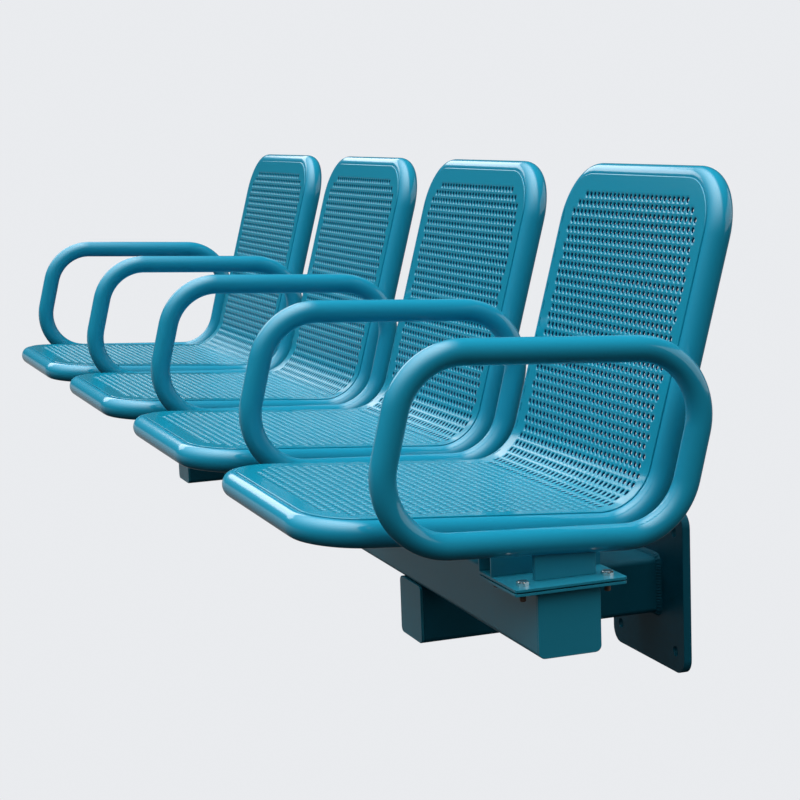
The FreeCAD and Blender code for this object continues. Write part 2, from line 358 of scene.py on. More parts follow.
# Clamp plates: under each armrest a lower plate lies on the beam and an upper one carries the
# seat risers and the armrest. Four bolts hold the pair together, threaded into the lower plate,
# and a narrow joint shows between the two.
seat_count = 4
station_numbers = range(1, seat_count + 2)
clamp_corner = 0.004
clamp_edge = 0.0008
clamp_gap = 0.0018
bolt_flats = 0.013
bolt_diameter = 0.008


def bolt_places(number):
    """Bolt centre lines of one station, from the box round its bolt heads."""
    low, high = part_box("clamp_bolts_%d" % number)
    half_corners = bolt_flats / math.sqrt(3)
    half_flats = bolt_flats / 2
    places = []
    for x in (low.x + half_corners, high.x - half_corners):
        for y in (low.y + half_flats, high.y - half_flats):
            places.append((x, y))
    return places


for number in station_numbers:
    for level, lift in (("lower", 0), ("upper", clamp_gap / 2)):
        node = "clamp_%s_%d" % (level, number)
        low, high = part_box(node)
        middle = (low + high) / 2
        size = high - low
        loops = [rounded_loop(size.x, size.y, clamp_corner)]
        for x, y in bolt_places(number):
            loops.append(round_loop(x - middle.x, y - middle.y, bolt_diameter / 2))
        plate = cut_solid(
            "clamp_%s_finish_%d" % (level, number), loops, size.z - clamp_gap / 2,
            lambda u, v, w: Vector((middle.x + u, middle.y + v, low.z + lift + w)), clamp_edge)
        fit(plate, frame_coat, "frame_paint", node)


# Bolts: plated hexagon bolts, four to a station, with chamfered heads. Their threaded ends come
# out below the lower plate, where the plating has dulled to brown.
bolt_head = 0.0053
head_chamfer = 0.0009
head_foot = 0.0004
head_steps = 48
head_profile = (
    (0, 1.13), (head_foot, 1.16), (bolt_head - head_chamfer, 1.16),
    (bolt_head - 0.5 * head_chamfer, 1.05), (bolt_head - 0.08 * head_chamfer, 0.93), (bolt_head, 0.8928))
thread_pitch = 0.00125
thread_depth = 0.0006
thread_steps_round = 24
thread_steps_pitch = 5
end_chamfer = 0.0010
bolt_sharp = math.radians(28)
zinc = (0.82, 0.81, 0.79, 1.0)
dulled_thread = (0.30, 0.19, 0.15, 1.0)
dulling_depth = 0.004
dulling_spread = 0.40
dulling_start = -0.14
spangle_size = 420.0
spangle_detail = 4.0
spangle_strength = 0.2
spangle_height = 0.0003
zinc_roughness = 0.16
dulled_roughness = 0.62
zinc_metal = 1.0
dulled_metal = 0.55


def turned_ring(shape, radii, z):
    ring = []
    for i, radius in enumerate(radii):
        angle = 2 * math.pi * i / len(radii)
        ring.append(shape.verts.new((radius * math.cos(angle), radius * math.sin(angle), z)))
    return ring


def close_rings(shape, rings):
    for lower, upper in zip(rings, rings[1:]):
        for i in range(len(lower)):
            shape.faces.new((lower[i - 1], lower[i], upper[i], upper[i - 1]))
    shape.faces.new(list(reversed(rings[0])))
    shape.faces.new(rings[-1])


def bolt_mesh(shoulder, tail):
    """One bolt about the Z axis: head above the shoulder level, threaded shank down to the tail.

    The head profile gives heights, and how far the corners reach in half widths across the flats.
    """
    shape = bmesh.new()
    flat = bolt_flats / 2
    half_side = math.pi / 6
    head_rings = []
    for height, reach in head_profile:
        radii = []
        for i in range(head_steps):
            sector = (2 * math.pi * i / head_steps + half_side) % (2 * half_side) - half_side
            hexagon = flat / math.cos(half_side - abs(sector))
            radii.append(min(hexagon, flat * reach))
        head_rings.append(turned_ring(shape, radii, shoulder + height))
    close_rings(shape, head_rings)
    shank_rings = []
    length = shoulder - tail
    count = round(length / thread_pitch * thread_steps_pitch)
    for j in range(count + 1):
        rise = length * j / count
        tip = max(0, end_chamfer - rise)
        radii = []
        for i in range(thread_steps_round):
            phase = (rise / thread_pitch - i / thread_steps_round) % 1
            groove = thread_depth * abs(2 * phase - 1)
            radii.append(bolt_diameter / 2 - max(groove, tip))
        shank_rings.append(turned_ring(shape, radii, tail + rise))
    close_rings(shape, shank_rings)
    bmesh.ops.recalc_face_normals(shape, faces=shape.faces)
    return shape


def parts_of(tree, vector):
    return linked(tree, "ShaderNodeSeparateXYZ", {"Vector": vector}).node.outputs


def bolt_material(thread_level):
    """Bright zinc on the heads, brown and rougher below the given level."""
    material, tree = node_material("bolt_zinc")
    surface = tree.nodes["Principled BSDF"].inputs
    place = linked(tree, "ShaderNodeTexCoord", {}, output="Object")
    below = linked(tree, "ShaderNodeMapRange", {
        "Value": parts_of(tree, place)["Z"], "From Min": thread_level,
        "From Max": thread_level - dulling_depth})
    spangle = noise(tree, place, spangle_size, spangle_detail)
    patch = math_node(tree, "MULTIPLY_ADD", spangle, dulling_spread, dulling_start)
    dull = math_node(tree, "ADD", below, patch, use_clamp=True)
    colour = linked(tree, "ShaderNodeMix", {"Factor": dull, "A": zinc, "B": dulled_thread},
                    output="Result", data_type="RGBA")
    bump = linked(tree, "ShaderNodeBump", {
        "Height": spangle, "Strength": spangle_strength, "Distance": spangle_height})
    tree.links.new(colour, surface["Base Color"])
    tree.links.new(bump, surface["Normal"])
    for label, bright, dulled in (
            ("Roughness", zinc_roughness, dulled_roughness), ("Metallic", zinc_metal, dulled_metal)):
        value = linked(tree, "ShaderNodeMapRange", {"Value": dull, "To Min": bright, "To Max": dulled})
        tree.links.new(value, surface[label])
    return material


def size_tree(name, sizes):
    """Empty geometry tree with one named input for each size, and one mesh output."""
    tree, given, result = node_group(name, "GeometryNodeTree", sizes, (("Mesh", "Geometry"),))
    return tree, given, result["Mesh"]


def painted_mesh(tree, mesh, material):
    """Last nodes of a tree, which make its instances real and give them their material."""
    real = linked(tree, "GeometryNodeRealizeInstances", {"Geometry": mesh})
    return linked(tree, "GeometryNodeSetMaterial", {"Geometry": real, "Material": material})


def grown_piece(tree, name, sizes):
    """Plain mesh piece made by a tree with the given sizes."""
    piece = bpy.data.objects.new(name, bpy.data.meshes.new(name))
    bpy.context.scene.collection.objects.link(piece)
    growth = piece.modifiers.new("growth", "NODES")
    growth.node_group = tree
    for item in tree.interface.items_tree:
        if item.in_out == "INPUT" and item.name in sizes:
            growth[item.identifier] = sizes[item.name]
    apply_modifiers(piece)
    return piece


def bolt_row_tree(bolt, material):
    """Sets one bolt at each point of a rectangle of four."""
    tree, sizes, finished = size_tree("bolts_of_a_station", (
        ("Spacing X", "Float"), ("Spacing Y", "Float"), ("Middle", "Vector")))
    corners = linked(tree, "GeometryNodeMeshGrid", {
        "Size X": sizes["Spacing X"], "Size Y": sizes["Spacing Y"], "Vertices X": 2, "Vertices Y": 2})
    moved = linked(tree, "GeometryNodeSetPosition", {"Geometry": corners, "Offset": sizes["Middle"]})
    source = linked(tree, "GeometryNodeObjectInfo", {"Object": bolt}, output="Geometry")
    copies = linked(tree, "GeometryNodeInstanceOnPoints", {"Points": moved, "Instance": source})
    tree.links.new(painted_mesh(tree, copies, material), finished)
    return tree


bolt_low, bolt_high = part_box("clamp_bolts_1")
bolt_zinc = bolt_material(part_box("clamp_lower_1")[0].z)
bolt_pattern = piece_from(bolt_mesh(bolt_high.z - bolt_head, bolt_low.z), "bolt_pattern")
bolt_pattern.data.set_sharp_from_angle(angle=bolt_sharp)
bolt_tree = bolt_row_tree(bolt_pattern, bolt_zinc)
for number in station_numbers:
    places = bolt_places(number)
    first = Vector((*places[0], 0))
    last = Vector((*places[-1], 0))
    bolts = grown_piece(bolt_tree, "clamp_bolts_finish_%d" % number, {
        "Spacing X": last.x - first.x,
        "Spacing Y": last.y - first.y,
        "Middle": (first + last) / 2})
    fit(bolts, bolt_zinc, "bolt_steel", "clamp_bolts_%d" % number)
bpy.data.objects.remove(bolt_pattern)


# Seat risers: short channels folded from plate, mouth down, welded between the upper clamp plate
# and the underside of a seat rim. Their tops slope with the seat pan.
pan_tilt = math.radians(4.4)
riser_wall = 0.003
riser_bend = 0.005
riser_edge = 0.0005


def channel_loop(width, height):
    """Outline of a channel on its mouth: outside up and over, then inside back again."""
    half = width / 2
    inner = half - riser_wall
    inner_bend = riser_bend - riser_wall
    top = height - riser_bend
    quarter = math.pi / 2
    loop = [(half, 0)]
    loop += arc_points((half - riser_bend, top), riser_bend, 0, quarter, corner_steps)
    loop += arc_points((riser_bend - half, top), riser_bend, quarter, 2 * quarter, corner_steps)
    loop += [(-half, 0), (-inner, 0)]
    loop += arc_points((riser_bend - half, top), inner_bend, 2 * quarter, quarter, corner_steps)
    loop += arc_points((half - riser_bend, top), inner_bend, quarter, 0, corner_steps)
    loop += [(inner, 0)]
    return loop


for number in station_numbers:
    sides = []
    if number > 1:
        sides.append("left")
    if number <= seat_count:
        sides.append("right")
    for side in sides:
        node = "seat_riser_%d_%s" % (number, side)
        low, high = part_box(node)
        size = high - low
        middle_x = (low.x + high.x) / 2
        bend_start = size.z / 2

        def set_riser(u, v, w):
            drop = w * math.tan(pan_tilt) if v > bend_start else 0
            return Vector((middle_x + u, low.y + w, low.z + v - drop))

        riser = cut_solid(
            "seat_riser_finish_%d_%s" % (number, side), [channel_loop(size.x, size.z)], size.y,
            set_riser, riser_edge)
        fit(riser, frame_coat, "frame_paint", node)


# Armrest webs: one upright plate to each armrest, welded on the upper clamp plate and up under the
# lower bar of the tube loop.
loop_middle = Vector((0, -0.3462, 0.2848))
loop_bar = 0.390
loop_side = 0.2276
loop_tilt = math.radians(3.33)
loop_lean = math.radians(14.47)
tube_radius = 0.016
web_sink = 0.004
web_edge = 0.0008
bar_half = Vector((0, math.cos(loop_tilt), -math.sin(loop_tilt))) * (loop_bar / 2)
side_half = Vector((0, math.sin(loop_lean), math.cos(loop_lean))) * (loop_side / 2)
lower_bar_middle = loop_middle - side_half


def web_top(y):
    bar_z = lower_bar_middle.z - (y - lower_bar_middle.y) * math.tan(loop_tilt)
    return bar_z - tube_radius + web_sink


for number in station_numbers:
    node = "armrest_web_%d" % number
    low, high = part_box(node)
    outline = [(low.y, low.z), (high.y, low.z), (high.y, web_top(high.y)), (low.y, web_top(low.y))]
    web = cut_solid(
        "armrest_web_finish_%d" % number, [outline], high.x - low.x, along_row(low, Vector()), web_edge)
    fit(web, frame_coat, "frame_paint", node)


# Armrests: each one length of round steel tube, bent at four corners into a closed loop that leans
# back a little, with the same gloss coat as the seat rims.
loop_radius = 0.083
loop_corner_steps = 22
tube_steps = 36
seat_teal = (0.010, 0.250, 0.380, 1.0)
seat_gloss = 0.12
seat_peel = 0.08
seat_coat = coat_material("seat_coat", seat_teal, seat_gloss, coat_specular, seat_peel)


def tube_loop_tree():
    """Round tube along a four-cornered closed path with bent corners."""
    corners = ("Front Low", "Front High", "Back High", "Back Low")
    tree, sizes, finished = size_tree("bent_tube_loop", [(name, "Vector") for name in corners] + [
        ("Bend Radius", "Float"), ("Bend Steps", "Int"), ("Tube Radius", "Float"), ("Tube Steps", "Int")])
    points = {"Point %d" % i: sizes[name] for i, name in enumerate(corners, 1)}
    path = linked(tree, "GeometryNodeCurvePrimitiveQuadrilateral", points, mode="POINTS")
    bends = linked(tree, "GeometryNodeFilletCurve", {
        "Curve": path, "Radius": sizes["Bend Radius"], "Count": sizes["Bend Steps"]}, mode="POLY")
    ring = linked(tree, "GeometryNodeCurvePrimitiveCircle", {
        "Radius": sizes["Tube Radius"], "Resolution": sizes["Tube Steps"]})
    tube = linked(tree, "GeometryNodeCurveToMesh", {"Curve": bends, "Profile Curve": ring})
    smooth = linked(tree, "GeometryNodeSetShadeSmooth", {0: tube})
    tree.links.new(painted_mesh(tree, smooth, seat_coat), finished)
    return tree


def place_in_row(node):
    """Place of a piece along the row, from the middle of its node's box."""
    low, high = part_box(node)
    return Vector(((low.x + high.x) / 2, 0, 0))


loop_tree = tube_loop_tree()
for number in station_numbers:
    node = "armrest_loop_%d" % number
    centre = place_in_row(node) + loop_middle
    loop = grown_piece(loop_tree, "armrest_finish_%d" % number, {
        "Front Low": centre - bar_half - side_half,
        "Front High": centre - bar_half + side_half,
        "Back High": centre + bar_half + side_half,
        "Back Low": centre + bar_half - side_half,
        "Bend Radius": loop_radius,
        "Bend Steps": loop_corner_steps,
        "Tube Radius": tube_radius,
        "Tube Steps": tube_steps})
    fit(loop, seat_coat, "seat_paint", node)


# Seat rims: one oval tube to each seat, bent round four corners in the flat and then folded between
# pan and back, so that it frames the whole seat.
fold_point = Vector((0, -0.1911, 0.1806))
back_lean = math.radians(15.4)
bend_radius = 0.067
pan_length = 0.433
back_length = 0.4324
seat_width = 0.446
seat_corner = 0.085
rim_width = 0.030
rim_depth = 0.033
rim_rise = -0.0016
rim_steps = 36
path_step = 0.005
path_corner_steps = 24
fold_turn = math.pi / 2 - back_lean + pan_tilt
fold_trim = bend_radius * math.tan(fold_turn / 2)
fold_arc = bend_radius * fold_turn
pan_forward = Vector((0, -math.cos(pan_tilt), math.sin(pan_tilt)))
pan_normal = Vector((0, math.sin(pan_tilt), math.cos(pan_tilt)))
bend_middle = fold_point + pan_forward * fold_trim + pan_normal * bend_radius
flat_front = -(pan_length - fold_trim)
flat_top = fold_arc + back_length - fold_trim
flat_middle = (flat_front + flat_top) / 2
flat_length = flat_top - flat_front
fold_sizes = {"Bend Radius": bend_radius, "Fold Turn": fold_turn, "Pan Tilt": pan_tilt}
fold_inputs = (
    ("Bend Radius", "Float"), ("Fold Turn", "Float"), ("Pan Tilt", "Float"), ("Bend Middle", "Vector"))


def vector_node(tree, operation, *values):
    return linked(tree, "ShaderNodeVectorMath", dict(enumerate(values)), operation=operation)


def combine(tree, x, y, z):
    return linked(tree, "ShaderNodeCombineXYZ", {"X": x, "Y": y, "Z": z})


def seat_fold_group():
    """Folds a flat blank. X runs across the seat, Y along it from the start of the bend, Z out of it."""
    group, given, result = node_group(
        "seat_fold", "GeometryNodeTree", (("Blank", "Geometry"), *fold_inputs), (("Folded", "Geometry"),))
    flat = parts_of(group, linked(group, "GeometryNodeInputPosition", {}))
    arc = math_node(group, "MULTIPLY", given["Bend Radius"], given["Fold Turn"])
    bent = linked(group, "ShaderNodeClamp", {"Value": flat["Y"], "Min": 0.0, "Max": arc})
    straight = math_node(group, "SUBTRACT", flat["Y"], bent)
    turned = math_node(group, "DIVIDE", bent, given["Bend Radius"])
    angle = math_node(group, "SUBTRACT", turned, given["Pan Tilt"])
    depth = math_node(group, "SUBTRACT", flat["Z"], given["Bend Radius"])
    spoke = combine(group, flat["X"], straight, depth)
    swung = linked(group, "ShaderNodeVectorRotate", {"Vector": spoke, "Angle": angle}, rotation_type="X_AXIS")
    folded = linked(group, "GeometryNodeSetPosition", {
        "Geometry": given["Blank"], "Position": vector_node(group, "ADD", swung, given["Bend Middle"])})
    group.links.new(folded, result["Folded"])
    return group


seat_fold = seat_fold_group()


def fold_blank(tree, sizes, blank):
    """Places the fold in a tree, fed by its sizes, and gives back the folded mesh."""
    fold = {label: sizes[label] for label, kind in fold_inputs}
    return linked(tree, "GeometryNodeGroup", {"Blank": blank, **fold}, node_tree=seat_fold)


def flat_ring(tree, sizes, across, upward, step, sides):
    """Oval tube, of the given half sizes, round a flat rectangle with bent corners."""
    path = linked(tree, "GeometryNodeCurvePrimitiveQuadrilateral", {
        "Width": sizes["Width"], "Height": sizes["Length"]}, mode="RECTANGLE")
    bends = linked(tree, "GeometryNodeFilletCurve", {
        "Curve": path, "Radius": sizes["Corner"], "Count": path_corner_steps}, mode="POLY")
    steps = linked(tree, "GeometryNodeResampleCurve", {"Curve": bends, "Length": step}, mode="LENGTH")
    level = linked(tree, "GeometryNodeSetCurveNormal", {"Curve": steps}, mode="Z_UP")
    section = linked(tree, "GeometryNodeCurvePrimitiveCircle", {"Resolution": sides, "Radius": 1.0})
    oval = linked(tree, "GeometryNodeTransform", {
        "Geometry": section, "Scale": combine(tree, across, upward, 1.0)})
    return linked(tree, "GeometryNodeCurveToMesh", {"Curve": level, "Profile Curve": oval})


def rim_tree():
    tree, sizes, finished = size_tree("seat_rim_tube", fold_inputs + (
        ("Width", "Float"), ("Length", "Float"), ("Corner", "Float"),
        ("Half Across", "Float"), ("Half Upward", "Float"), ("Place", "Vector")))
    ring = flat_ring(tree, sizes, sizes["Half Across"], sizes["Half Upward"], path_step, rim_steps)
    moved = linked(tree, "GeometryNodeSetPosition", {"Geometry": ring, "Offset": sizes["Place"]})
    smooth = linked(tree, "GeometryNodeSetShadeSmooth", {0: fold_blank(tree, sizes, moved)})
    tree.links.new(painted_mesh(tree, smooth, seat_coat), finished)
    return tree


seat_numbers = range(1, seat_count + 1)
rim_growth = rim_tree()
for number in seat_numbers:
    node = "seat_rim_%d" % number
    rim = grown_piece(rim_growth, "seat_rim_finish_%d" % number, {
        **fold_sizes,
        "Bend Middle": place_in_row(node) + bend_middle,
        "Width": seat_width - rim_width,
        "Length": flat_length - rim_width,
        "Corner": seat_corner - rim_width / 2,
        "Half Across": rim_width / 2,
        "Half Upward": rim_depth / 2,
        "Place": (0, flat_middle, rim_rise - rim_depth / 2)})
    fit(rim, seat_coat, "seat_paint", node)


# Seat sheets: each one steel sheet, punched all over with staggered round holes and folded to lie
# on its rim. A small round bead along its edge makes the step down to the rim.
sheet_thickness = 0.0036
hole_pitch = 0.012
hole_diameter = 0.0070
hole_sides = 12
hole_lip = 0.0010
first_hole_row = 0.045
last_hole_row = 0.047
row_gap_wanted = 0.0124
spare_rows = 2
field_half_width = 0.183
field_corner = 0.060
field_margin = 0.004
field_side = 0.004
bead_radius = 0.0012
bead_sides = 12
bead_step = 0.008
bead_inset = 0.0040
tile_parts = 2.0
tile_reach = 1.2
tile_seam = 0.0002
edge_seam = 0.00005
sliver_area = 2.0e-7
wall_slope = 0.3
upper_band = 0.0001
sheet_sharp = math.radians(50)
# Colour of the painted shade on the hole walls, which lie in shadow inside the sheet.
hole_shade = (0.001, 0.045, 0.125, 1.0)
sheet_teal = (0.005, 0.228, 0.337, 1.0)
sheet_gloss = 0.14
sheet_specular = 0.46
bead_line = rim_width / 2 + bead_inset
field_front = flat_front + first_hole_row
field_top = flat_top - last_hole_row
row_steps = round((field_top - field_front) / row_gap_wanted)
row_gap = (field_top - field_front) / row_steps
row_count = row_steps + 1 + 2 * spare_rows
column_count = 2 * math.ceil((seat_width / 2 - bead_line) / hole_pitch) + 1


def punched_coat():
    """The seat's coat on the sheet, with painted shade darkening the walls of the punched holes."""
    material = coat_material("sheet_coat", sheet_teal, sheet_gloss, sheet_specular, seat_peel)
    tree = material.node_tree
    colour = tree.nodes["Principled BSDF"].inputs["Base Color"]
    painted = colour.links[0].from_socket
    wall = linked(tree, "ShaderNodeAttribute", {}, output="Fac", attribute_name="hole_wall")
    shaded = linked(tree, "ShaderNodeMix", {"Factor": wall, "A": painted, "B": hole_shade},
                    output="Result", data_type="RGBA")
    tree.links.new(shaded, colour)
    return material


def scaled(tree, vector, factor):
    return linked(tree, "ShaderNodeVectorMath", {0: vector, "Scale": factor}, operation="SCALE")


def compared(tree, operation, value, limit):
    return linked(tree, "FunctionNodeCompare", {0: value, 1: limit}, data_type="FLOAT", operation=operation)


def joined(tree, *meshes):
    both = add_node(tree, "GeometryNodeJoinGeometry")
    for mesh in meshes:
        tree.links.new(mesh, both.inputs[0])
    return both.outputs[0]


def rounded_limit(tree, position, half_size, corner):
    """Nearest point of a rounded rectangle's core, the step from it to the position, and its length."""
    corner_vector = combine(tree, corner, corner, 0.0)
    core = vector_node(tree, "SUBTRACT", half_size, corner_vector)
    under = vector_node(tree, "MULTIPLY", core, (-1, -1, -1))
    above = vector_node(tree, "MAXIMUM", position, under)
    nearest = vector_node(tree, "MINIMUM", above, core)
    step = vector_node(tree, "SUBTRACT", position, nearest)
    reach = linked(tree, "ShaderNodeVectorMath", {0: step}, output="Value", operation="LENGTH")
    return nearest, step, reach


def grown_tile(tree, mesh, places):
    """Extrudes a ring of edges to each place in turn."""
    edges = True
    for place in places:
        ring = linked(tree, "GeometryNodeExtrudeMesh", {
            "Mesh": mesh, "Selection": edges, "Offset Scale": 0.0}, mode="EDGES").node.outputs
        mesh = linked(tree, "GeometryNodeSetPosition", {
            "Geometry": ring["Mesh"], "Selection": ring["Top"], "Position": place})
        edges = ring["Top"]
    return mesh


def sheet_tree():
    """Flat lattice of tiles, punched inside the field and plain outside it, thickened and folded."""
    tree, sizes, finished = size_tree("punched_seat_sheet", fold_inputs + (
        ("Width", "Float"), ("Length", "Float"), ("Corner", "Float"),
        ("Field Half Size", "Vector"), ("Field Corner", "Float"), ("Field Side", "Float"),
        ("Field Middle", "Float"), ("Sheet Middle", "Float"), ("Pitch", "Float"), ("Row Gap", "Float"),
        ("Hole Radius", "Float"), ("Hole Lip", "Float"), ("Columns", "Int"), ("Rows", "Int"),
        ("Thickness", "Float"), ("Bead Radius", "Float")))
    position = linked(tree, "GeometryNodeInputPosition", {})
    flat_position = vector_node(tree, "MULTIPLY", position, (1.0, 1.0, 0.0))
    parts = parts_of(tree, position)
    below = math_node(tree, "MULTIPLY", sizes["Thickness"], -1.0)
    down = combine(tree, 0.0, 0.0, below)

    # Tile outline: points of a circle pushed out to the corners and edge points of a rectangle
    half_pitch = math_node(tree, "MULTIPLY", sizes["Pitch"], 0.5)
    half_gap = math_node(tree, "MULTIPLY", sizes["Row Gap"], 0.5)
    outward = vector_node(tree, "NORMALIZE", flat_position)
    outward_parts = parts_of(tree, outward)
    side_steps = math_node(tree, "ROUND", math_node(tree, "MULTIPLY", outward_parts["X"], tile_parts))
    side_share = math_node(tree, "DIVIDE", side_steps, tile_parts)
    row_share = math_node(tree, "ROUND", math_node(tree, "MULTIPLY", outward_parts["Y"], tile_reach))
    tile_edge = combine(
        tree, math_node(tree, "MULTIPLY", side_share, half_pitch),
        math_node(tree, "MULTIPLY", row_share, half_gap), 0.0)

    # Upper tile: the hole's wall, its rounded lip and the flat round it. The lower tile is the flat alone
    lip_radius = math_node(tree, "ADD", sizes["Hole Radius"], sizes["Hole Lip"])
    hole_edge = scaled(tree, outward, sizes["Hole Radius"])
    lip_edge = scaled(tree, outward, lip_radius)
    wall_foot = vector_node(tree, "ADD", hole_edge, down)
    wall_top = vector_node(tree, "SUBTRACT", hole_edge, combine(tree, 0.0, 0.0, sizes["Hole Lip"]))
    circle = linked(tree, "GeometryNodeMeshCircle", {"Vertices": hole_sides, "Radius": 1.0})
    foot = linked(tree, "GeometryNodeSetPosition", {"Geometry": circle, "Position": wall_foot})
    upper_tile = grown_tile(tree, foot, (wall_top, lip_edge, tile_edge))
    # The hole walls are marked, and the sheet's coat darkens them as painted shade.
    facing = parts_of(tree, linked(tree, "GeometryNodeInputNormal", {}))
    wall = compared(tree, "LESS_THAN", math_node(tree, "ABSOLUTE", facing["Z"]), wall_slope)
    upper_tile = linked(tree, "GeometryNodeStoreNamedAttribute", {
        "Geometry": upper_tile, "Selection": wall, "Name": "hole_wall", "Value": 1.0},
        data_type="FLOAT", domain="FACE")
    mouth = linked(tree, "GeometryNodeSetPosition", {"Geometry": circle, "Position": hole_edge})
    lower_tile = grown_tile(tree, mouth, (tile_edge,))
    disc = linked(tree, "GeometryNodeMeshCircle", {"Vertices": hole_sides, "Radius": 1.0}, fill_type="NGON")
    plain_tile = linked(tree, "GeometryNodeSetPosition", {"Geometry": disc, "Position": tile_edge})

    # Lattice: every second row stands half a pitch to the side
    columns_less = math_node(tree, "SUBTRACT", sizes["Columns"], 1.0)
    rows_less = math_node(tree, "SUBTRACT", sizes["Rows"], 1.0)
    lattice = linked(tree, "GeometryNodeMeshGrid", {
        "Size X": math_node(tree, "MULTIPLY", columns_less, sizes["Pitch"]),
        "Size Y": math_node(tree, "MULTIPLY", rows_less, sizes["Row Gap"]),
        "Vertices X": sizes["Columns"], "Vertices Y": sizes["Rows"]})
    row = math_node(tree, "ROUND", math_node(tree, "DIVIDE", parts["Y"], sizes["Row Gap"]))
    odd_row = math_node(tree, "FLOORED_MODULO", math_node(tree, "ADD", row, 1.0), 2.0)
    stagger = combine(tree, math_node(tree, "MULTIPLY", odd_row, half_pitch), 0.0, 0.0)
    points = linked(tree, "GeometryNodeSetPosition", {"Geometry": lattice, "Offset": stagger})
    field_reach = rounded_limit(tree, position, sizes["Field Half Size"], sizes["Field Corner"])[2]
    in_field = compared(tree, "LESS_EQUAL", field_reach, sizes["Field Corner"])
    out_of_field = linked(tree, "FunctionNodeBooleanMath", {0: in_field}, operation="NOT")

    # Sheet outline: what lies beyond it is drawn in to it, and what has no area left is dropped
    sheet_offset = combine(tree, 0.0, sizes["Sheet Middle"], 0.0)
    centred = vector_node(tree, "SUBTRACT", flat_position, sheet_offset)
    half_sheet = combine(
        tree, math_node(tree, "MULTIPLY", sizes["Width"], 0.5),
        math_node(tree, "MULTIPLY", sizes["Length"], 0.5), 0.0)
    nearest, step, reach = rounded_limit(tree, centred, half_sheet, sizes["Corner"])
    share = math_node(tree, "MINIMUM", math_node(tree, "DIVIDE", sizes["Corner"], reach), 1.0)
    drawn = vector_node(tree, "ADD", nearest, scaled(tree, step, share))
    own_place = vector_node(tree, "ADD", sheet_offset, combine(tree, 0.0, 0.0, parts["Z"]))
    held = vector_node(tree, "ADD", drawn, own_place)
    empty = compared(tree, "LESS_THAN", linked(tree, "GeometryNodeInputMeshFaceArea", {}), sliver_area)
    field_offset = combine(tree, sizes["Field Side"], sizes["Field Middle"], 0.0)

    def merged(mesh, distance):
        return linked(tree, "GeometryNodeMergeByDistance", {"Geometry": mesh, "Distance": distance})

    def tiled_face(punched_tile):
        """One face of the sheet: tiles set on the lattice, joined and trimmed to the outline."""
        punched = linked(tree, "GeometryNodeInstanceOnPoints", {
            "Points": points, "Selection": in_field, "Instance": punched_tile})
        plain = linked(tree, "GeometryNodeInstanceOnPoints", {
            "Points": points, "Selection": out_of_field, "Instance": plain_tile})
        tiles = linked(tree, "GeometryNodeRealizeInstances", {"Geometry": joined(tree, punched, plain)})
        tiles = linked(tree, "GeometryNodeSetPosition", {"Geometry": tiles, "Offset": field_offset})
        tiles = linked(tree, "GeometryNodeSetPosition", {
            "Geometry": merged(tiles, tile_seam), "Position": held})
        tiles = linked(tree, "GeometryNodeDeleteGeometry", {
            "Geometry": tiles, "Selection": empty}, domain="FACE")
        return merged(tiles, edge_seam)

    # Slab: the upper face with its hole walls, the lower face turned over, and an edge between them
    lower = linked(tree, "GeometryNodeFlipFaces", {"Mesh": tiled_face(lower_tile)})
    lower = linked(tree, "GeometryNodeSetPosition", {"Geometry": lower, "Offset": down})
    face_count = linked(tree, "GeometryNodeInputMeshEdgeNeighbors", {}, output="Face Count")
    open_edge = linked(tree, "FunctionNodeCompare", {0: face_count, 1: 1.0, "Epsilon": 0.5},
                       data_type="FLOAT", operation="EQUAL")
    on_top = compared(tree, "GREATER_THAN", parts["Z"], -upper_band)
    border = linked(tree, "FunctionNodeBooleanMath", {0: open_edge, 1: on_top}, operation="AND")
    edged = linked(tree, "GeometryNodeExtrudeMesh", {
        "Mesh": tiled_face(upper_tile), "Selection": border, "Offset": down}, mode="EDGES")
    slab = merged(joined(tree, edged, lower), edge_seam)

    # Bead: a round roll along the sheet's edge, level with its upper face
    roll = flat_ring(tree, sizes, sizes["Bead Radius"], sizes["Bead Radius"], bead_step, bead_sides)
    roll = linked(tree, "GeometryNodeSetPosition", {"Geometry": roll, "Offset": combine(
        tree, 0.0, sizes["Sheet Middle"], math_node(tree, "MULTIPLY", sizes["Bead Radius"], -1.0))})

    folded = fold_blank(tree, sizes, joined(tree, slab, roll))
    smooth = linked(tree, "GeometryNodeSetShadeSmooth", {0: folded})
    angle = linked(tree, "GeometryNodeInputMeshEdgeAngle", {}, output="Unsigned Angle")
    sharp = compared(tree, "GREATER_THAN", angle, sheet_sharp)
    shaded = linked(tree, "GeometryNodeSetShadeSmooth", {
        0: smooth, "Selection": sharp, "Shade Smooth": False}, domain="EDGE")
    tree.links.new(painted_mesh(tree, shaded, sheet_coat), finished)
    return tree


sheet_coat = punched_coat()
sheet_growth = sheet_tree()
for number in seat_numbers:
    node = "seat_sheet_%d" % number
    sheet = grown_piece(sheet_growth, "seat_sheet_finish_%d" % number, {
        **fold_sizes,
        "Bend Middle": place_in_row(node) + bend_middle,
        "Width": seat_width - 2 * bead_line,
        "Length": flat_length - 2 * bead_line,
        "Corner": seat_corner - bead_line,
        "Field Half Size": (field_half_width, (field_top - field_front) / 2 + field_margin, 0),
        "Field Corner": field_corner,
        "Field Side": field_side,
        "Field Middle": (field_front + field_top) / 2,
        "Sheet Middle": flat_middle,
        "Pitch": hole_pitch,
        "Row Gap": row_gap,
        "Hole Radius": hole_diameter / 2,
        "Hole Lip": hole_lip,
        "Columns": column_count,
        "Rows": row_count,
        "Thickness": sheet_thickness,
        "Bead Radius": bead_radius})
    fit(sheet, sheet_coat, "seat_paint", node)


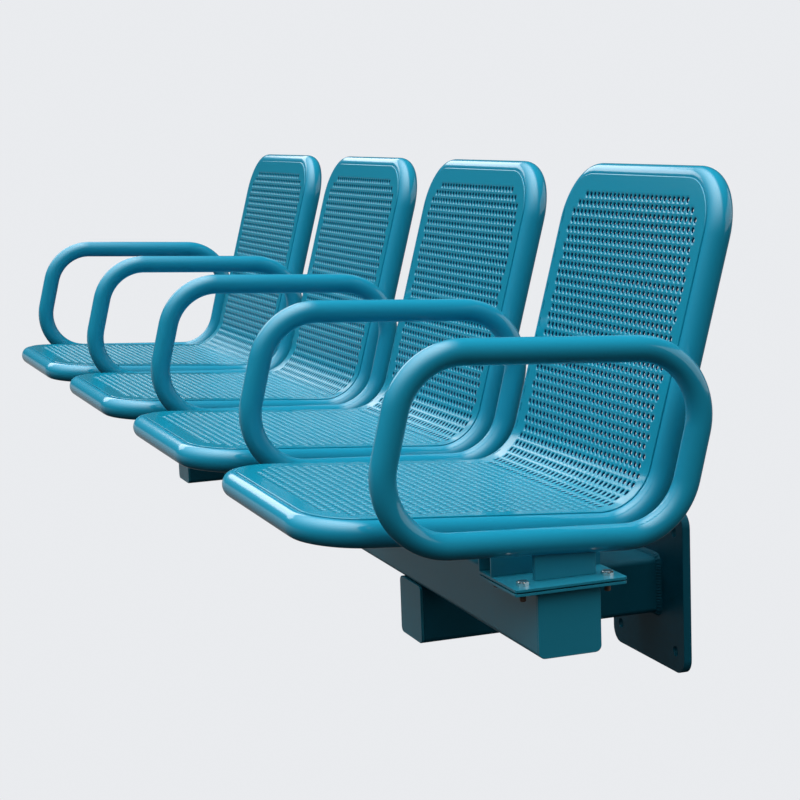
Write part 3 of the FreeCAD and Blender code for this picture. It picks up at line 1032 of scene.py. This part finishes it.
# Stage: a pale floor that gives the row no light, a sky that is bright above and before the wall,
# soft lamps at the far left and behind, and the camera at the photograph's place.
floor_level = -0.27
floor_reach = 30.0
stage_grey = (0.82, 0.835, 0.86, 1.0)
floor_shape = bmesh.new()
floor_corners = [
    floor_shape.verts.new((x * floor_reach, y * floor_reach, floor_level))
    for x, y in ((-1, -1), (1, -1), (1, 1), (-1, 1))]
floor_shape.faces.new(floor_corners)
floor = piece_from(floor_shape, "floor")
floor_finish, floor_tree = node_material("floor_finish")
floor_glow = linked(floor_tree, "ShaderNodeEmission", {"Color": stage_grey})
floor_tree.links.new(floor_glow, floor_tree.nodes["Material Output"].inputs["Surface"])
floor.data.materials.append(floor_finish)
floor.visible_diffuse = False
floor.visible_glossy = False

sky_tint = (0.90, 0.97, 1.0, 1.0)
sky_top = 6.6
sky_rise = 3.0
wall_line = (0.35, 0.05)
horizon = (-0.02, 0.04)
shade_light = 0.04
far_ground = 0.50
near_ground = 0.03
ground_reach = 0.5
left_reach = 0.8
world = bpy.data.worlds.new("studio")
bpy.context.scene.world = world
world.use_nodes = True
studio = world.node_tree
seen = studio.nodes["Background"]
seen.inputs["Color"].default_value = stage_grey
heading = parts_of(studio, linked(studio, "ShaderNodeTexCoord", {}, output="Generated"))
height = math_node(studio, "MAXIMUM", heading["Z"], 0.0)
rise = math_node(studio, "POWER", height, sky_rise)
before_wall = linked(studio, "ShaderNodeMapRange", {
    "Value": heading["Y"], "From Min": wall_line[0], "From Max": wall_line[1], "To Max": sky_top},
    interpolation_type="SMOOTHSTEP")
sky = math_node(studio, "MULTIPLY_ADD", rise, before_wall, shade_light)
above = linked(studio, "ShaderNodeMapRange", {
    "Value": heading["Z"], "From Min": horizon[0], "From Max": horizon[1]})
left_side = linked(studio, "ShaderNodeMapRange", {
    "Value": heading["X"], "From Min": 0.0, "From Max": -left_reach,
    "To Min": near_ground, "To Max": far_ground})
ground = linked(studio, "ShaderNodeMapRange", {
    "Value": heading["Z"], "From Min": -ground_reach, "From Max": 0.0,
    "To Min": near_ground, "To Max": left_side})
strength = linked(studio, "ShaderNodeMix", {"Factor": above, "A": ground, "B": sky})
lit = linked(studio, "ShaderNodeBackground", {"Color": sky_tint, "Strength": strength})
camera_ray = linked(studio, "ShaderNodeLightPath", {}, output="Is Camera Ray")
choice = linked(studio, "ShaderNodeMixShader", {0: camera_ray, 1: lit, 2: seen.outputs["Background"]})
studio.links.new(choice, studio.nodes["World Output"].inputs["Surface"])


def soft_light(name, place, aim, width, height, power):
    lamp = bpy.data.lights.new(name, "AREA")
    lamp.shape = "RECTANGLE"
    lamp.size = width
    lamp.size_y = height
    lamp.energy = power
    light = bpy.data.objects.new(name, lamp)
    light.location = place
    light.rotation_euler = (Vector(aim) - Vector(place)).to_track_quat("-Z", "Y").to_euler()
    light.visible_camera = False
    bpy.context.scene.collection.objects.link(light)


soft_light("far_left", place=(-10.9, -2.0, 5.2), aim=(0.0, -0.2, 0.5), width=8.4, height=3.2, power=220.0)
soft_light("rear", place=(3.0, 8.0, 2.8), aim=(0.0, -0.2, 0.2), width=12.0, height=5.0, power=220.0)

camera_place = Vector((3.0876, -1.2460, 0.6719))
camera_yaw = math.radians(19.681)
camera_pitch = math.radians(8.414)
camera_roll = math.radians(-2.116)
focal_pixels = 1939.5
image_pixels = 800
sight = Vector((
    -math.cos(camera_yaw) * math.cos(camera_pitch),
    math.sin(camera_yaw) * math.cos(camera_pitch),
    -math.sin(camera_pitch)))
level_right = Vector((math.sin(camera_yaw), math.cos(camera_yaw), 0))
level_up = level_right.cross(sight)
camera_right = level_right * math.cos(camera_roll) + level_up * math.sin(camera_roll)
camera_up = level_up * math.cos(camera_roll) - level_right * math.sin(camera_roll)
lens = bpy.data.cameras.new("camera")
lens.lens = lens.sensor_width * focal_pixels / image_pixels
camera = bpy.data.objects.new("camera", lens)
turn = Matrix((camera_right, camera_up, -sight)).transposed().to_4x4()
camera.matrix_world = Matrix.Translation(camera_place) @ turn
bpy.context.scene.collection.objects.link(camera)
bpy.context.scene.camera = camera
bpy.context.scene.view_settings.view_transform = "Standard"
